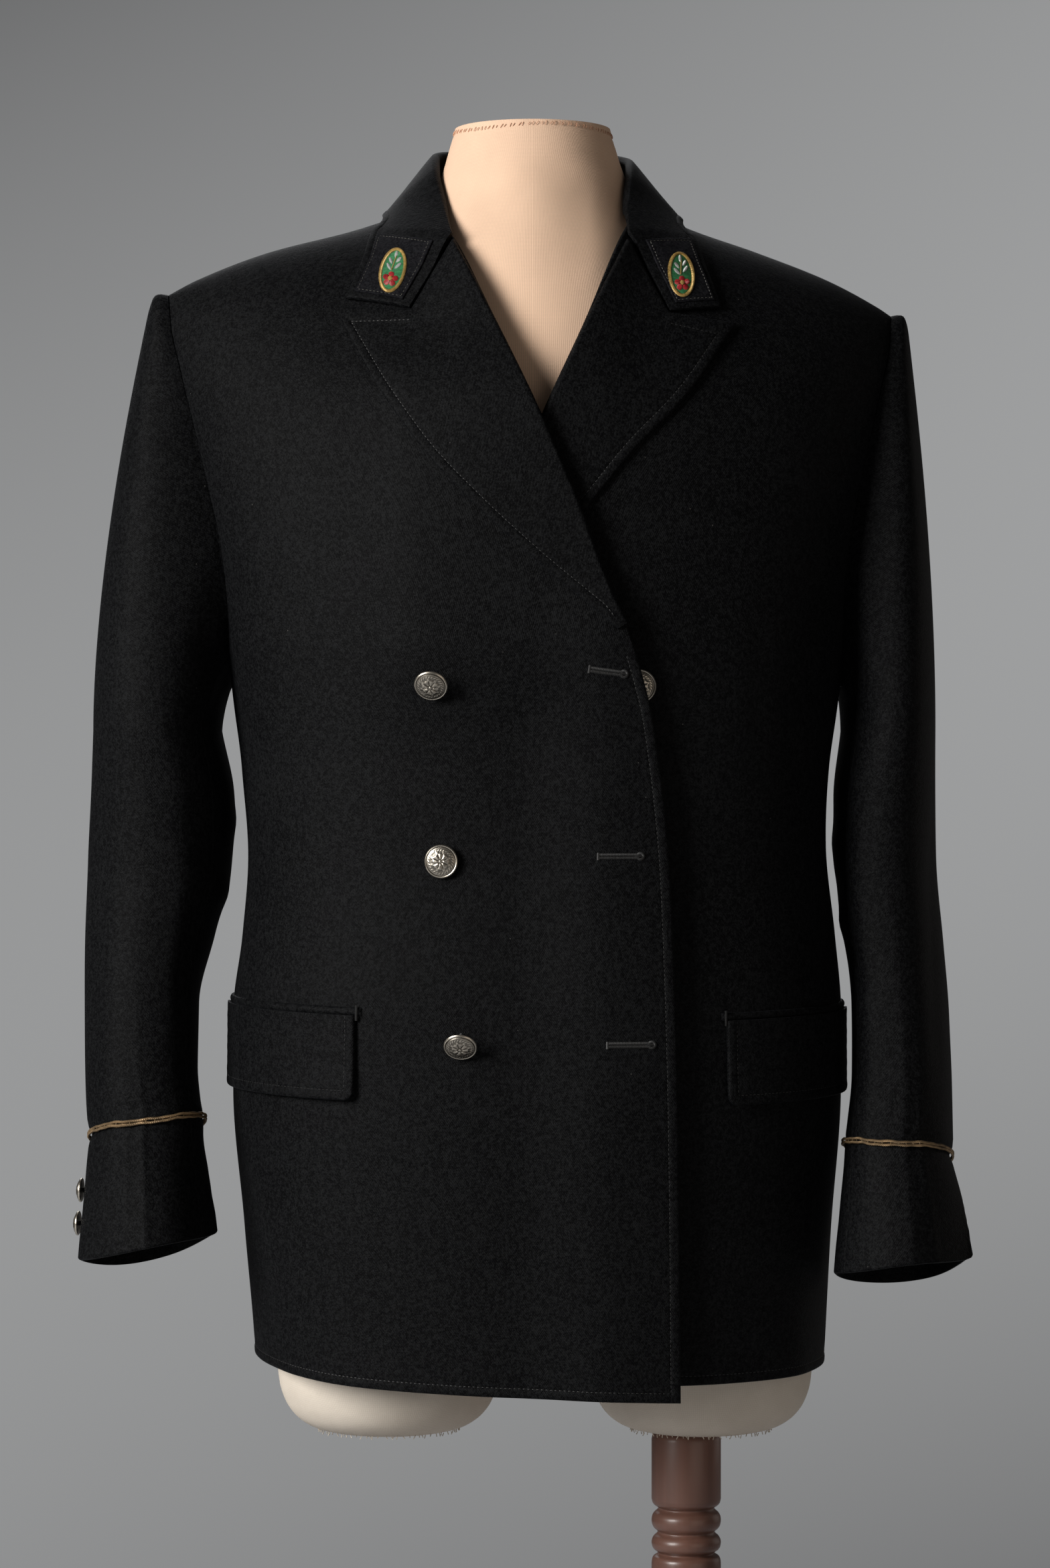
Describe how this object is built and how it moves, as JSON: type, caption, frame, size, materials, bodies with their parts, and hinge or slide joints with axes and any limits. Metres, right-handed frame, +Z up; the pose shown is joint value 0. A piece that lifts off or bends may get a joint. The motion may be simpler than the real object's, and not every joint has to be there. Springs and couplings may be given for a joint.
{
  "type": "wool jacket on a dress form stand",
  "caption": "Black double-breasted wool uniform jacket worn on a limbless dress form, which stands on a turned wooden pole with a round base.",
  "frame": {"origin": "on the floor, straight below the middle of the jacket's body", "axes": "+X to the viewer's right as seen from the jacket's front, -Y is the jacket's front, +Z up"},
  "size_m": [0.6379, 0.472, 1.4872],
  "materials": {
    "wool_twill": "black wool twill, matt",
    "patch_cloth": "fine black facing cloth",
    "badge_thread": "embroidered thread, green with gold and red",
    "braid_cord": "tarnished gold cord",
    "button_metal": "antique nickel, worn",
    "form_jersey": "skin-coloured knit over foam",
    "turned_wood": "dark rose-brown gloss varnish"
  },
  "bodies": {
    "root": {"front_right": "wool_twill", "front_left": "wool_twill", "back_right": "wool_twill", "back_left": "wool_twill", "lapel_right": "wool_twill", "lapel_left": "wool_twill", "collar": "wool_twill", "collar_stand": "wool_twill", "sleeve_right_upper": "wool_twill", "sleeve_right_under": "wool_twill", "sleeve_left_upper": "wool_twill", "sleeve_left_under": "wool_twill", "pocket_flap_right": "wool_twill", "pocket_flap_left": "wool_twill", "pocket_welt_right": "wool_twill", "pocket_welt_left": "wool_twill", "collar_patch_right": "patch_cloth", "collar_patch_left": "patch_cloth", "collar_badge_right": "badge_thread", "collar_badge_left": "badge_thread", "cuff_braid_right": "braid_cord", "cuff_braid_left": "braid_cord", "button_front_right_top": "button_metal", "button_front_right_middle": "button_metal", "button_front_right_bottom": "button_metal", "button_front_left_top": "button_metal", "button_front_left_middle": "button_metal", "button_front_left_bottom": "button_metal", "button_cuff_right_1": "button_metal", "button_cuff_right_2": "button_metal", "button_cuff_left_1": "button_metal", "button_cuff_left_2": "button_metal", "dress_form": "form_jersey", "pole": "turned_wood", "base": "turned_wood"}
  },
  "joints": []
}
